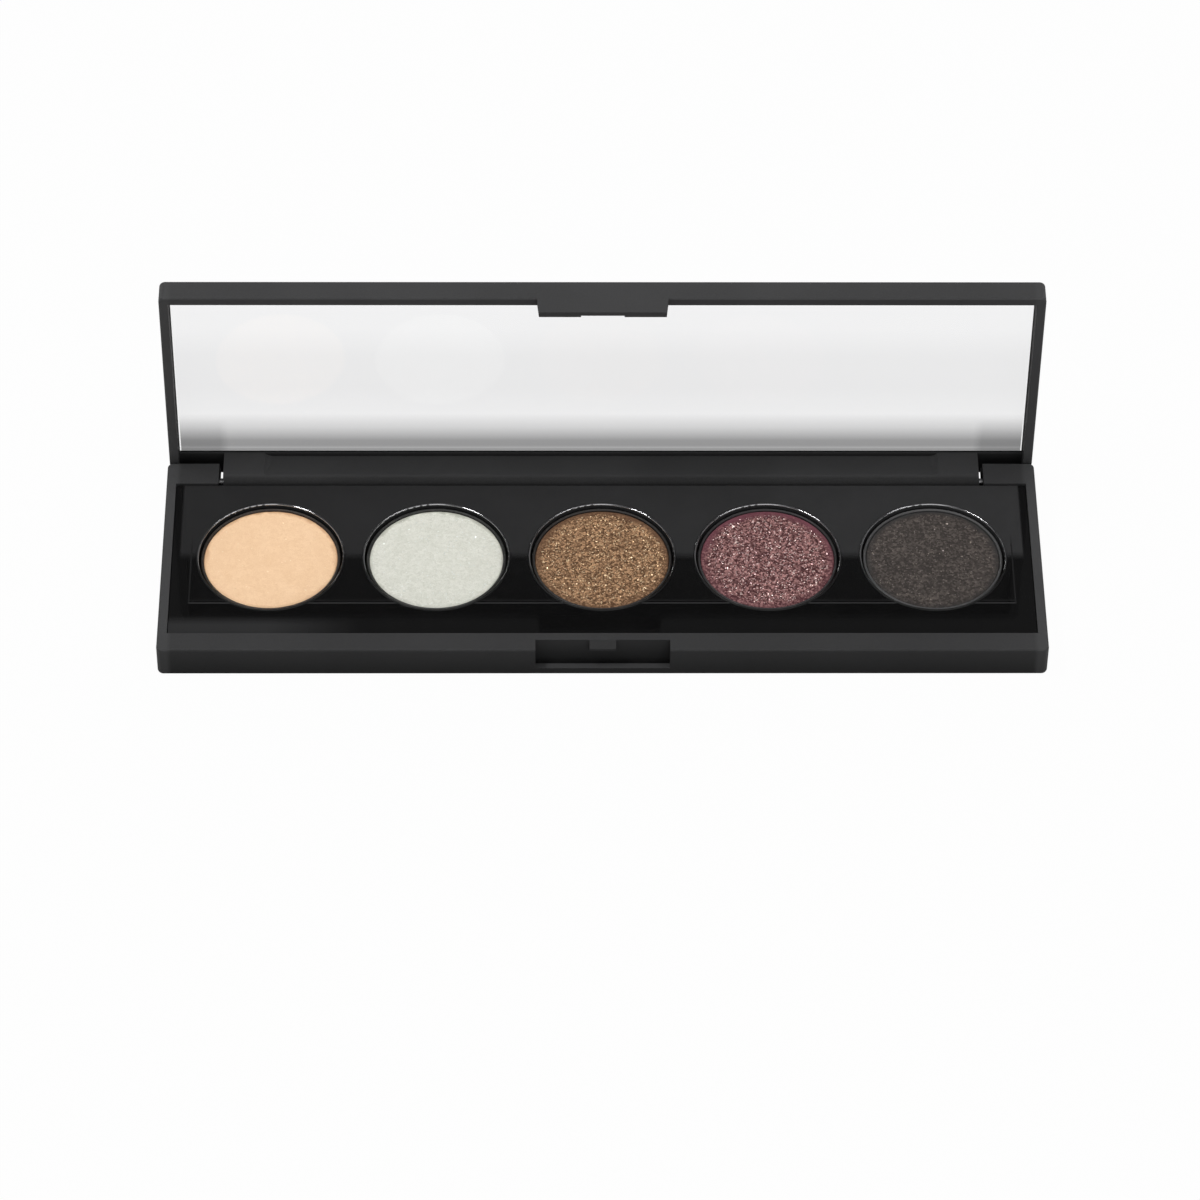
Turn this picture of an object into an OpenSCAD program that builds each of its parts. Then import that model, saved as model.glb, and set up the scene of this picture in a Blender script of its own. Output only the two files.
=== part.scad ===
// Slim five-pan eyeshadow compact. A matt case with a full-width mirror in its lid turns on
// two side pins, a glossy insert carries five round pans of pressed powder, and a tongue on
// the lid drops over a catch at the front.
// Millimetres. X runs along the case, Y from the front to the hinge, Z up. The origin is the
// centre of the underside of the base. The lid stands open at a right angle.

/* [Case] */
// Width of the base, end to end
case_w = 164.1; // [160:0.1:180]
// Depth of the case, front to back
case_d = 48.2; // [46:0.2:56]
// Height of the base, underside to rim
base_h = 6.6; // [6.5:0.1:8]
// Thickness of the lid, rim to outer face
lid_h = 4.8; // [4.7:0.1:6]
// Step from each side of the base in to the side of the lid
lid_step = 0.3; // [0.1:0.05:0.5]
// Plan radius of the four corners
corner_r = 1.1; // [1:0.1:3]
// Rounding of the edges round the underside and round the lid's outer face
face_edge_r = 0.6; // [0.4:0.1:0.8]
// Rounding of the edges where base and lid meet
rim_edge_r = 0.35; // [0.2:0.05:0.5]
// Width of the side rims of the base
side_rim = 1.8; // [1.6:0.1:2.2]
// Width of the side rims of the lid
lid_side_rim = 1.7; // [1.5:0.1:2.2]
// Width of the rim along the front of the base
front_rim = 4.35; // [4.2:0.05:5]
// Wall along the free edge of the lid
lid_front_wall = 1.65; // [1.2:0.05:1.8]
// Wall along the back of the lid
lid_rear_wall = 1.2; // [1:0.1:1.6]
// Floor of the base
floor_t = 1.2; // [1:0.05:1.3]
// Outer plate of the lid, behind the mirror
lid_plate_t = 1.1; // [1:0.05:1.4]
// Gap between the two rims when the case is shut
rim_gap = 0.1; // [0.05:0.05:0.2]

/* [Hinge] */
// Angle of the lid from shut
lid_open = 90; // [0:1:90]
// Radius of the long barrel on the lid
barrel_r = 2.6; // [2.4:0.05:2.6]
// Clear space in front of the barrel
barrel_gap = 0.25; // [0.2:0.05:0.4]
// Length of the solid ear at each end of the base
ear_len = 9.75; // [9:0.05:12]
// Gap between each end of the barrel and its ear
ear_gap = 0.8; // [0.3:0.05:1]
// Rounding of the rear top edge of the ears
ear_edge_r = 0.3; // [0.2:0.1:0.8]
// Radius of the hinge pins
pin_r = 0.75; // [0.6:0.05:0.9]
// Length of the hinge pins
pin_len = 14.5; // [13:0.5:16]
// Depth of the pin heads below the case sides
pin_sink = 0.8; // [0.4:0.1:1.2]
// Radial play of the pins in the barrel
pin_play = 0.05; // [0.03:0.01:0.08]
// Length of the full-thickness boss at each end of the barrel
boss_len = 7.7; // [7.5:0.05:10]
// Depth of the scoop between the bosses
scoop_depth = 0.8; // [0.6:0.1:1]
// Radius of the scoop
scoop_r = 17; // [15:0.5:20]
// Height of the scoop's deepest line above the hinge axis, with the lid shut
scoop_rise = 4.6; // [4.4:0.1:4.8]
// Radius of the scoop's ends
scoop_end_r = 2.2; // [2:0.1:3]

/* [Latch] */
// Width of the notch in the front rim
notch_w = 24.8; // [22:0.1:30]
// Depth of the notch from the front face
notch_d = 2.66; // [2.5:0.02:3]
// Height of the bar left below the notch
bar_h = 1.78; // [1.5:0.02:2]
// Thickness of that bar
bar_t = 1.2; // [1:0.05:1.3]
// Width of the catch
catch_w = 4.9; // [4:0.1:6]
// Reach of the catch from the back of the notch
catch_d = 1.2; // [1:0.05:1.25]
// Height of the catch's blunt tip
catch_tip_h = 0.5; // [0.3:0.1:0.8]
// Width of the tongue where it leaves the lid
tongue_w = 24.3; // [21:0.1:24.3]
// Narrowing of the tongue on each side towards its tip
tongue_taper = 0.4; // [0:0.1:1]
// Length of the tongue beyond the lid's rim
tongue_len = 3.6; // [3:0.1:4]
// Thickness of the tongue
tongue_t = 1.2; // [1:0.05:1.2]
// Width of the shallow groove on the inside of the tongue
groove_w = 8; // [6:0.5:12]
// Depth of that groove
groove_d = 0.35; // [0.2:0.05:0.4]
// Height of the bead across the groove
bead_d = 0.4; // [0.3:0.05:0.5]

/* [Mirror] */
// Thickness of the mirror glass
glass_t = 1; // [0.8:0.1:1.2]
// Bevel round the face of the glass
glass_bevel = 0.3; // [0.2:0.05:0.5]
// Gap between the glass and the lid's walls
glass_gap = 0.15; // [0.1:0.05:0.4]
// Gap between the glass and the hinge barrel
glass_foot_gap = 0.4; // [0.3:0.1:2]
// Thickness of the adhesive sheet behind the glass
tape_t = 0.2; // [0.1:0.05:0.3]
// Distance from the edge of the glass to the edge of the adhesive
tape_inset = 1.5; // [1:0.5:5]

/* [Insert] */
// Depth of the insert's face below the rim
insert_drop = 0.45; // [0.4:0.05:0.6]
// Thickness of the insert's plate
insert_t = 1; // [0.8:0.05:1.1]
// Gap round the insert
insert_gap = 0.12; // [0.08:0.02:0.2]
// Corner radius of the insert
insert_corner_r = 0.5; // [0.3:0.1:1]
// Radius of the round wells
well_r = 13.4; // [13.3:0.05:13.6]
// Thickness of the well walls
well_wall = 0.7; // [0.6:0.05:0.9]
// Thickness of the well floors
well_floor_t = 0.7; // [0.5:0.05:0.8]
// Radius of the rounded lip round each well
lip_r = 0.22; // [0.15:0.01:0.24]

/* [Pans] */
// Distance between neighbouring pans
pan_pitch = 30.9; // [30:0.1:31.5]
// Outer radius of a pan
pan_r = 13.05; // [12.9:0.05:13.1]
// Depth of the pan rims below the insert's face
pan_drop = 0.4; // [0.3:0.05:0.6]
// Wall of a pan
pan_wall = 0.55; // [0.4:0.05:0.55]
// Floor of a pan
pan_floor_t = 0.4; // [0.3:0.05:0.5]
// Rounding at the foot of a pan
pan_foot_r = 0.6; // [0.6:0.1:0.8]
// Depth of the powder's edge below the pan rim
powder_drop = 0.3; // [0.2:0.05:0.5]
// Rise of the pressed powder from its edge to its centre
powder_crown = 0.35; // [0.1:0.05:0.5]
// Thickness of the glue dots under the pans
glue_t = 0.25; // [0.15:0.05:0.3]
// Radius of the glue dots
glue_r = 5; // [3:0.5:8]

/* [Hidden] */
$fn = 96;
pan_count = 5;
over = 1;             // how far a cutter runs past the face that it opens
bond = 0.2;           // how deep one feature is rooted in the solid that carries it
trough_wall_t = 1;    // wall between the pocket and the trough
pin_chamfer = 0.25;   // at both ends of the hinge pins
bore_spare = 0.5;     // depth of the bores beyond the pins' inner ends
press_depth = 0.01;   // by which the pins are larger than the bores in the ears
bead_end_gap = 0.5;   // between the ends of the tongue's bead and the groove's sides
foot_relief = 0.3;    // by which the powder's foot clears the rounding in the pan
crown_facets = 512;   // the powder's crown is a small cap of a large sphere

front_y = -case_d / 2;
rear_y = case_d / 2;
side_x = case_w / 2;
inner_x = side_x - side_rim;
lid_side_x = side_x - lid_step;
lid_inner_x = lid_side_x - lid_side_rim;

pivot_y = rear_y - barrel_r;
pivot_z = base_h - barrel_r;
ear_x = side_x - ear_len;
barrel_x = ear_x - ear_gap;
trough_y = pivot_y - barrel_r - barrel_gap;
ear_reach = sqrt(2) * (barrel_r - ear_edge_r) + ear_edge_r;
relief_r = ear_reach + rim_gap;
pin_out_x = side_x - pin_sink;
bore_in_x = pin_out_x - pin_len - bore_spare;

lid_z = base_h + rim_gap;
lid_roof_z = lid_z + lid_h - lid_plate_t;
lid_level_z = lid_roof_z - tape_t - glass_t;

insert_z = base_h - insert_drop;
insert_front_y = front_y + front_rim;
insert_y = (insert_front_y + trough_y) / 2;
well_bottom_z = floor_t;
glue_z = well_bottom_z + well_floor_t;
pan_z = glue_z + glue_t;
pan_h = insert_z - pan_drop - pan_z;
powder_r = pan_r - pan_wall;
powder_h = pan_h - pan_floor_t - powder_drop;

glass_front_y = front_y + lid_front_wall + glass_gap;
glass_rear_y = pivot_y - barrel_r - glass_foot_gap;
glass_w = 2 * (lid_inner_x - glass_gap);
glass_d = glass_rear_y - glass_front_y;
glass_y = (glass_front_y + glass_rear_y) / 2;
tape_z = lid_roof_z - tape_t;

matt_black = [0.16, 0.16, 0.165];
gloss_black = [0.05, 0.05, 0.055];
bare_metal = [0.72, 0.72, 0.74];
mirror_silver = [0.88, 0.9, 0.91];
tape_white = [0.85, 0.85, 0.82];
glue_amber = [0.85, 0.78, 0.6];
powder_colours = [
  [0.95, 0.8, 0.64],
  [0.86, 0.87, 0.83],
  [0.5, 0.36, 0.2],
  [0.48, 0.3, 0.35],
  [0.25, 0.24, 0.24]
];

pan_numbers = [1 : pan_count];

function pan_x(i) = (i - (pan_count + 1) / 2) * pan_pitch;

// Carries a shape from the shut pose to the pose of the open lid.
module as_opened() {
  translate([0, pivot_y, pivot_z]) rotate([-lid_open, 0, 0])
    translate([0, -pivot_y, -pivot_z]) children();
}

// A box given by its lowest and highest corners.
module box(low, high) {
  translate(low) cube(high - low);
}

// A round bar along X, from one x to another, at a given y and z.
module x_bar(x0, x1, y, z, r) {
  translate([x0, y, z]) rotate([0, 90, 0]) cylinder(r = r, h = x1 - x0);
}

// A profile drawn in Y and Z, run along X from one x to another.
module along_x(x0, x1) {
  translate([x0, 0, 0]) rotate([90, 0, 90]) linear_extrude(x1 - x0) children();
}

// A profile drawn in X and Z, run along Y from one y to another.
module along_y(y0, y1) {
  translate([0, y1, 0]) rotate([90, 0, 0]) linear_extrude(y1 - y0) children();
}

// A rectangle that stands on the X axis, with its two low corners rounded.
module soft_profile(w, h, edge_r) {
  translate([-w / 2, edge_r]) square([w, h - edge_r]);
  translate([edge_r - w / 2, 0]) square([w - 2 * edge_r, h]);
  for (side = [-1, 1]) translate([side * (w / 2 - edge_r), edge_r]) circle(edge_r);
}

// A slab as deep as the case, with upright round corners and its lower edges rounded.
module soft_slab(w, h, edge_r) {
  post_x = w / 2 - corner_r;
  post_y = rear_y - corner_r;
  along_x(-post_x, post_x) soft_profile(case_d, h, edge_r);
  along_y(-post_y, post_y) soft_profile(w, h, edge_r);
  for (sx = [0, 1], sy = [0, 1]) mirror([sx, 0, 0]) mirror([0, sy, 0])
    translate([post_x, post_y, 0]) rotate_extrude(angle = 90) intersection() {
      soft_profile(2 * corner_r, h, edge_r);
      square([corner_r, h]);
    }
}

// The outer form of base and lid: upright corners, and edges rounded below and above.
module case_block(w, h, low_r, high_r) {
  soft_slab(w, h / 2, low_r);
  translate([0, 0, h]) mirror([0, 0, 1]) soft_slab(w, h / 2, high_r);
}

// A flat plate with upright rounded corners, centred on the origin in X and Y.
module rounded_plate(w, d, h, r) {
  box([-w / 2 + r, -d / 2, 0], [w / 2 - r, d / 2, h]);
  box([-w / 2, -d / 2 + r, 0], [w / 2, d / 2 - r, h]);
  for (sx = [-1, 1], sy = [-1, 1]) {
    translate([sx * (w / 2 - r), sy * (d / 2 - r), 0]) cylinder(r = r, h = h);
  }
}

// Room for the insert: a deep pocket, and a shallow step over the wall before the hinge.
module insert_pocket() {
  box([-inner_x, insert_front_y, floor_t], [inner_x, trough_y - trough_wall_t, base_h + over]);
  box([-inner_x, insert_front_y, insert_z - insert_t], [inner_x, trough_y, base_h + over]);
}

// The trough between the ears, open at the back, where the lid's barrel turns.
module hinge_trough() {
  box([-ear_x, trough_y, floor_t], [ear_x, rear_y + over, base_h + over]);
}

// What is taken off the rear top edge of the ears, so that the lid can swing past.
module ear_rounding() {
  edge_y = rear_y - ear_edge_r;
  edge_z = base_h - ear_edge_r;
  difference() {
    box([-side_x - over, edge_y, edge_z], [side_x + over, rear_y + over, base_h + over]);
    x_bar(-side_x - 2 * over, side_x + 2 * over, edge_y, edge_z, ear_edge_r);
  }
}

// The notch in the front rim, with a slot through the floor behind its lower bar.
module latch_notch() {
  half = notch_w / 2;
  back_y = front_y + notch_d;
  box([-half, front_y - over, bar_h], [half, back_y, base_h + over]);
  box([-half, front_y + bar_t, -over], [half, back_y, base_h + over]);
}

// The wedge in the middle of the notch: a lead-in slope, a blunt tip and an undercut.
module latch_catch() {
  back_y = front_y + notch_d;
  tip_y = back_y - catch_d;
  tip_z = base_h - catch_d;
  along_x(-catch_w / 2, catch_w / 2) polygon([
    [back_y + bond, base_h],
    [back_y, base_h],
    [tip_y, tip_z],
    [tip_y, tip_z - catch_tip_h],
    [back_y, tip_z - catch_tip_h - catch_d],
    [back_y + bond, tip_z - catch_tip_h - catch_d]
  ]);
}

// Bores for the pins, from each side of the case through the ear.
module ear_bores() {
  for (sx = [0, 1]) mirror([sx, 0, 0])
    x_bar(ear_x - over, side_x + over, pivot_y, pivot_z, pin_r - press_depth);
}

module base_shell() {
  color(matt_black) {
    difference() {
      case_block(case_w, base_h, face_edge_r, rim_edge_r);
      insert_pocket();
      hinge_trough();
      ear_rounding();
      latch_notch();
      ear_bores();
    }
    latch_catch();
  }
}

// One well of the insert: a cup with a rounded lip that stands a little above the face.
module well_cup() {
  cup_h = insert_z - well_bottom_z;
  rotate_extrude() {
    square([well_r + well_wall, well_floor_t]);
    translate([well_r, 0]) square([well_wall, cup_h]);
    translate([well_r, 0]) square([2 * lip_r, cup_h]);
    translate([well_r + lip_r, cup_h]) circle(lip_r);
  }
}

module insert() {
  plate_w = 2 * (inner_x - insert_gap);
  plate_d = trough_y - insert_front_y - 2 * insert_gap;
  color(gloss_black) {
    difference() {
      translate([0, insert_y, insert_z - insert_t])
        rounded_plate(plate_w, plate_d, insert_t, insert_corner_r);
      for (i = pan_numbers) translate([pan_x(i), 0, insert_z - insert_t - over])
        cylinder(r = well_r + lip_r, h = insert_t + 2 * over);
    }
    for (i = pan_numbers) translate([pan_x(i), 0, well_bottom_z]) well_cup();
  }
}

// A round pan with a foot radius, and a rim rounded over its full thickness.
module pan(i) {
  rim_r = pan_wall / 2;
  color(bare_metal) translate([pan_x(i), 0, pan_z]) rotate_extrude() {
    square([pan_r - pan_foot_r, pan_floor_t]);
    translate([pan_r - pan_foot_r, pan_foot_r]) intersection() {
      difference() {
        circle(pan_foot_r);
        circle(pan_foot_r - pan_wall);
      }
      translate([0, -pan_foot_r]) square(pan_foot_r);
    }
    translate([powder_r, pan_foot_r]) square([pan_wall, pan_h - pan_foot_r - rim_r]);
    translate([powder_r + rim_r, pan_h - rim_r]) circle(rim_r);
  }
}

// Pressed powder that fills the pan, with a gently crowned face.
module powder(i) {
  crown_r = (powder_r * powder_r + powder_crown * powder_crown) / (2 * powder_crown);
  foot_r = pan_foot_r - pan_wall + foot_relief;
  color(powder_colours[i - 1]) translate([pan_x(i), 0, pan_z + pan_floor_t]) {
    cylinder(r = powder_r - foot_r, h = powder_h);
    translate([0, 0, foot_r]) cylinder(r = powder_r, h = powder_h - foot_r);
    intersection() {
      translate([0, 0, powder_h + powder_crown - crown_r]) sphere(crown_r, $fn = crown_facets);
      translate([0, 0, foot_r]) cylinder(r = powder_r, h = powder_h);
    }
  }
}

module glue_dot(i) {
  color(glue_amber) translate([pan_x(i), 0, glue_z]) cylinder(r = glue_r, h = glue_t);
}

// The long barrel, rounded below about the hinge axis and rooted in the lid's plate.
module hinge_barrel() {
  top_z = lid_level_z + bond;
  x_bar(-barrel_x, barrel_x, pivot_y, pivot_z, barrel_r);
  box([-barrel_x, pivot_y - barrel_r, pivot_z], [barrel_x, rear_y, top_z]);
}

// The hollow between the barrel's two bosses, with curved ends.
module barrel_scoop() {
  boss_x = barrel_x - boss_len;
  turn_x = boss_x - sqrt(2 * scoop_end_r * scoop_depth - scoop_depth * scoop_depth);
  face_y = pivot_y - barrel_r;
  centre_y = face_y + scoop_depth - scoop_r;
  centre_z = pivot_z + scoop_rise;
  end_y = face_y + scoop_depth - scoop_end_r;
  intersection() {
    x_bar(-barrel_x, barrel_x, centre_y, centre_z, scoop_r);
    union() {
      box([-turn_x, face_y - over, 0], [turn_x, rear_y, lid_level_z]);
      for (sx = [-1, 1]) translate([sx * turn_x, end_y, 0])
        cylinder(r = scoop_end_r, h = lid_level_z);
    }
  }
}

// Blind bores in the barrel's ends, in which the pins turn.
module barrel_bores() {
  for (sx = [0, 1]) mirror([sx, 0, 0])
    x_bar(bore_in_x, barrel_x + over, pivot_y, pivot_z, pin_r + pin_play);
}

// The inside of the lid: a level that is flush with the mirror's face, the deeper pocket in
// which the mirror lies, and the slits beside the barrel's ends.
module lid_hollow() {
  inner_front_y = front_y + lid_front_wall;
  back_y = rear_y - lid_rear_wall;
  box([-lid_inner_x, inner_front_y, lid_z - over], [lid_inner_x, back_y, lid_level_z]);
  box([-lid_inner_x, inner_front_y, lid_z], [lid_inner_x, pivot_y - barrel_r, lid_roof_z]);
  for (sx = [0, 1]) mirror([sx, 0, 0])
    box([barrel_x, pivot_y, lid_z - over], [ear_x, rear_y + over, lid_level_z]);
}

// Round reliefs in the lid's rear corners, about the hinge axis, that clear the ears.
module ear_reliefs() {
  for (sx = [0, 1]) mirror([sx, 0, 0])
    x_bar(barrel_x, side_x + over, pivot_y, pivot_z, relief_r);
}

// The tongue that drops into the notch, with a groove and a low bead on its inner face.
module latch_tongue() {
  root_x = tongue_w / 2;
  tip_x = root_x - tongue_taper;
  inner_y = front_y + tongue_t;
  groove_y = inner_y - groove_d;
  tip_z = lid_z - tongue_len;
  bead_w = groove_w - 2 * bead_end_gap;
  difference() {
    along_y(front_y, inner_y) polygon([
      [-tip_x, tip_z], [tip_x, tip_z],
      [root_x, lid_z + rim_edge_r], [root_x, lid_level_z],
      [-root_x, lid_level_z], [-root_x, lid_z + rim_edge_r]
    ]);
    box([-groove_w / 2, groove_y, tip_z - over], [groove_w / 2, inner_y + over, lid_z]);
  }
  along_x(-bead_w / 2, bead_w / 2) polygon([
    [groove_y - bond, tip_z], [groove_y, tip_z],
    [groove_y + bead_d, tip_z + bead_d], [groove_y, tip_z + 2 * bead_d],
    [groove_y - bond, tip_z + 2 * bead_d]
  ]);
}

module lid_shell() {
  color(matt_black) as_opened() {
    difference() {
      union() {
        difference() {
          translate([0, 0, lid_z]) case_block(2 * lid_side_x, lid_h, rim_edge_r, face_edge_r);
          lid_hollow();
          ear_reliefs();
        }
        hinge_barrel();
      }
      barrel_scoop();
      barrel_bores();
    }
    latch_tongue();
  }
}

// Glass with a polished bevel round the side that faces the user.
module mirror_glass() {
  along_x(-glass_w / 2, glass_w / 2) bevel_profile(glass_d);
}

module bevel_profile(length) {
  half = length / 2;
  polygon([
    [-half, glass_t], [-half, glass_bevel], [glass_bevel - half, 0],
    [half - glass_bevel, 0], [half, glass_bevel], [half, glass_t]
  ]);
}

module mirror_plate() {
  color(mirror_silver) as_opened() translate([0, glass_y, lid_level_z]) intersection() {
    mirror_glass();
    along_y(-glass_d / 2, glass_d / 2) bevel_profile(glass_w);
  }
}

module mirror_adhesive() {
  tape_x = glass_w / 2 - tape_inset;
  tape_y = glass_d / 2 - tape_inset;
  color(tape_white) as_opened() translate([0, glass_y, tape_z])
    box([-tape_x, -tape_y, 0], [tape_x, tape_y, tape_t]);
}

// A plain pin with chamfered ends, pressed into the ear and turning in the barrel.
module hinge_pin(side) {
  tip_r = pin_r - pin_chamfer;
  color(bare_metal) mirror([side < 0 ? 1 : 0, 0, 0])
    translate([pin_out_x - pin_len, pivot_y, pivot_z]) rotate([0, 90, 0]) rotate_extrude()
      polygon([
        [0, 0], [tip_r, 0], [pin_r, pin_chamfer],
        [pin_r, pin_len - pin_chamfer], [tip_r, pin_len], [0, pin_len]
      ]);
}

base_shell();
insert();
lid_shell();
mirror_plate();  // mirror
mirror_adhesive();
hinge_pin(-1);  // hinge_pin_left
hinge_pin(1);  // hinge_pin_right
for (i = pan_numbers) {
  pan(i);
  powder(i);
  glue_dot(i);
}
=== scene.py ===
"""Looks of the eyeshadow palette: materials, pressed powders, floor, light and camera."""

import math

import bpy
import numpy as np
from mathutils import Matrix, Vector, noise


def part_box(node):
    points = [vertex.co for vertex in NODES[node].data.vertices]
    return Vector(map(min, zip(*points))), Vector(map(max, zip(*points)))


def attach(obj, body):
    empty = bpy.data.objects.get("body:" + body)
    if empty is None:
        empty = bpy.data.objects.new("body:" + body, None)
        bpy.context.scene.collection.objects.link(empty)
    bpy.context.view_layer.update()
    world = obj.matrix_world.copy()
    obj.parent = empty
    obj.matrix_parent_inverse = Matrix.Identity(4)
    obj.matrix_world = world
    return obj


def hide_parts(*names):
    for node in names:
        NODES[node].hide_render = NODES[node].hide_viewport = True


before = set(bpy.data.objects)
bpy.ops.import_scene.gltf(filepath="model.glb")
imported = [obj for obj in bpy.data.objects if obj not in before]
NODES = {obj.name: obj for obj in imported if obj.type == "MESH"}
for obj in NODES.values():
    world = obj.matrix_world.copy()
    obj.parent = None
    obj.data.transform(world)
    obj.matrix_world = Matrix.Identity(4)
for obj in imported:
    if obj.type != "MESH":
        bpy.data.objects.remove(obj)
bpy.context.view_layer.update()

MM = 0.001
PANS = range(1, 6)
# Distance between the centres of neighbouring pans
PITCH = 30.9 * MM
# Radius at which the rounded lip of a well has its crest
LIP_AT = 13.62 * MM


def pan_x(number):
    """Place of a pan's centre along the case."""
    return (number - 3) * PITCH


# ---------------------------------------------------------------- camera

CAM_ELEVATION = math.radians(47.011)
CAM_YAW = math.radians(0.805)
CAM_ROLL = math.radians(0.579)
CAM_DISTANCE = 1.0369
CAM_TARGET = Vector((-0.000295, -0.0001, -0.005551))
CAM_LENS = 165.31
CAM_SENSOR = 36


def make_camera():
    """The photograph's camera: a long lens, about 47 degrees above the table."""
    ahead = Vector((
        math.sin(CAM_YAW) * math.cos(CAM_ELEVATION),
        math.cos(CAM_YAW) * math.cos(CAM_ELEVATION),
        -math.sin(CAM_ELEVATION),
    ))
    level = Vector((math.cos(CAM_YAW), -math.sin(CAM_YAW), 0))
    above = level.cross(ahead)
    right = math.cos(CAM_ROLL) * level + math.sin(CAM_ROLL) * above
    up = math.cos(CAM_ROLL) * above - math.sin(CAM_ROLL) * level
    data = bpy.data.cameras.new("camera")
    data.sensor_width = CAM_SENSOR
    data.lens = CAM_LENS
    data.clip_start = 0.05
    data.clip_end = 20
    cam = bpy.data.objects.new("camera", data)
    spot = CAM_TARGET - ahead * CAM_DISTANCE
    turn = Matrix((right, up, -ahead)).transposed().to_4x4()
    cam.matrix_world = Matrix.Translation(spot) @ turn
    bpy.context.scene.collection.objects.link(cam)
    bpy.context.scene.camera = cam


# ---------------------------------------------------------------- node helpers

class Graph:
    """A material's node tree, with short calls that add and join nodes."""

    def __init__(self, name):
        self.material = bpy.data.materials.new(name)
        self.material.use_nodes = True
        self.tree = self.material.node_tree
        self.tree.nodes.clear()
        self.out = self.add("ShaderNodeOutputMaterial")
        coords = self.add("ShaderNodeTexCoord")
        self.place = coords.outputs["Object"]
        self.facing = coords.outputs["Normal"]

    def add(self, kind, **settings):
        node = self.tree.nodes.new(kind)
        for key, value in settings.items():
            setattr(node, key, value)
        return node

    def join(self, source, target):
        """Links an output to an input, or sets the input where the source is a plain value."""
        if isinstance(source, bpy.types.NodeSocket):
            self.tree.links.new(source, target)
        else:
            target.default_value = source

    def shader(self, **inputs):
        """A Principled shader. An underscore in a key stands for the space in the input's name."""
        node = self.add("ShaderNodeBsdfPrincipled")
        for key, value in inputs.items():
            self.join(value, node.inputs[key.replace("_", " ")])
        return node

    def noise(self, scale, detail, rough=0.5, vector=None):
        node = self.add("ShaderNodeTexNoise")
        self.join(vector or self.place, node.inputs["Vector"])
        node.inputs["Scale"].default_value = scale
        node.inputs["Detail"].default_value = detail
        node.inputs["Roughness"].default_value = rough
        return node.outputs["Fac"]

    def chances(self, scale, vector=None):
        """Random numbers, one set for each cell of a Voronoi pattern."""
        node = self.add("ShaderNodeTexVoronoi")
        self.join(vector or self.place, node.inputs["Vector"])
        node.inputs["Scale"].default_value = scale
        split = self.add("ShaderNodeSeparateColor")
        self.join(node.outputs["Color"], split.inputs["Color"])
        return split.outputs

    def span(self, value, low, high, to_low=0.0, to_high=1.0):
        """A value's place between two limits, mapped to another pair and held at its ends."""
        node = self.add("ShaderNodeMapRange", clamp=True)
        self.join(value, node.inputs["Value"])
        limits = {"From Min": low, "From Max": high, "To Min": to_low, "To Max": to_high}
        for key, number in limits.items():
            node.inputs[key].default_value = number
        return node.outputs["Result"]

    def math(self, operation, a, b=0.0):
        node = self.add("ShaderNodeMath", operation=operation)
        self.join(a, node.inputs[0])
        self.join(b, node.inputs[1])
        return node.outputs[0]

    def size_of(self, value):
        return self.math("ABSOLUTE", value)

    def product(self, first, *others):
        for other in others:
            first = self.math("MULTIPLY", first, other)
        return first

    def length(self, x, y):
        """Length of a vector in plan."""
        return self.math("SQRT", self.math("ADD", self.product(x, x), self.product(y, y)))

    def band(self, value, centre, half):
        """One on a narrow band about a value, falling to nothing at its edges."""
        away = self.size_of(self.math("SUBTRACT", value, centre))
        return self.span(away, half, 0.5 * half)

    def from_pan(self, x, y):
        """Distance in plan from the centre of the nearest pan."""
        column = self.math("SNAP", self.math("ADD", x, PITCH / 2), PITCH)
        column = self.math("MAXIMUM", self.math("MINIMUM", column, pan_x(5)), pan_x(1))
        return self.length(self.math("SUBTRACT", x, column), y)

    def axes(self, vector):
        node = self.add("ShaderNodeSeparateXYZ")
        self.join(vector, node.inputs[0])
        return node.outputs

    def blend(self, amount, a, b):
        """A colour between a and b."""
        node = self.add("ShaderNodeMix", data_type="RGBA")
        self.join(amount, node.inputs["Factor"])
        self.join(a, node.inputs["A"])
        self.join(b, node.inputs["B"])
        return [o for o in node.outputs if o.type == "RGBA"][0]

    def bump(self, height, distance, strength):
        node = self.add("ShaderNodeBump")
        self.join(height, node.inputs["Height"])
        node.inputs["Distance"].default_value = distance
        node.inputs["Strength"].default_value = strength
        return node.outputs["Normal"]

    def mix(self, share, first, second):
        """One shader, or a share of a second one."""
        node = self.add("ShaderNodeMixShader")
        self.join(share, node.inputs[0])
        self.join(first.outputs[0], node.inputs[1])
        self.join(second.outputs[0], node.inputs[2])
        return node

    def finish(self, shader):
        self.join(shader.outputs[0], self.out.inputs["Surface"])
        return self.material


def rgb(r, g, b):
    return (r, g, b, 1.0)


def grey(level):
    """A near-neutral grey, a touch cooler than grey."""
    return rgb(level, level, level * 1.025)


def fill_ramp(ramp, stops):
    """Sets a new colour ramp's stops, each a place and a colour."""
    for at, _ in stops[2:]:
        ramp.elements.new(at)
    for element, (at, colour) in zip(ramp.elements, stops):
        element.position = at
        element.color = colour


# ---------------------------------------------------------------- materials

# Greys of the two shells, which paint light and shade: a face that looks up is painted paler than a wall, as
# if lit from above, and the lid's walls paler than the base's. A wall that faces forwards goes from "wall" to
# "foot", a painted shade at its foot, between two heights, and a face that looks up goes from "face" to
# "hinge_shade", a painted shade by the hinge, between two places along the axis "along".
SHELLS = {
    "base_shell": dict(
        material="soft_touch_base", wall=0.017, foot=0.002, wall_z=6.0 * MM, foot_z=0.0,
        face=0.033, hinge_shade=0.026, along="Y", hinge_from=15 * MM, hinge_full=20 * MM, end_sheen_share=0.24),
    "lid_shell": dict(
        material="soft_touch_lid", wall=0.035, foot=0.008, wall_z=9.5 * MM, foot_z=6.0 * MM,
        face=0.037, hinge_shade=0.030, along="Z", hinge_from=20 * MM, hinge_full=10 * MM, end_sheen_share=0.14),
}
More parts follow.
